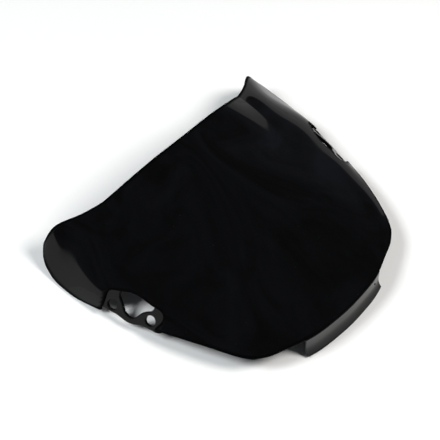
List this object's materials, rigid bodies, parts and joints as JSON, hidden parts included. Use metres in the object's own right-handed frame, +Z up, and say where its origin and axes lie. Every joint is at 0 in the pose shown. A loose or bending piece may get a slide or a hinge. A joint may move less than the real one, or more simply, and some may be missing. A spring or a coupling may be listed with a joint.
{
  "type": "windshield screen",
  "caption": "Glossy black domed motorcycle windscreen with side wings, recessed mirror seats with bolt holes, and a nose tongue.",
  "frame": {"origin": "middle of the outline, on the ground that the wings' lower edges and the nose tongue lie on", "axes": "+X across to the rider's left, -Y to the front of the motorcycle, +Z up from the ground to the dome"},
  "size_m": [0.4138, 0.3406, 0.1243],
  "materials": {
    "gloss_black_panel": "high gloss",
    "gloss_black_tongue": "high gloss",
    "gloss_black_seat_left": "high gloss",
    "gloss_black_seat_right": "high gloss"
  },
  "bodies": {
    "root": {"screen_panel": "gloss_black_panel", "nose_tongue": "gloss_black_tongue", "mirror_seat_left": "gloss_black_seat_left", "mirror_seat_right": "gloss_black_seat_right"}
  },
  "joints": []
}
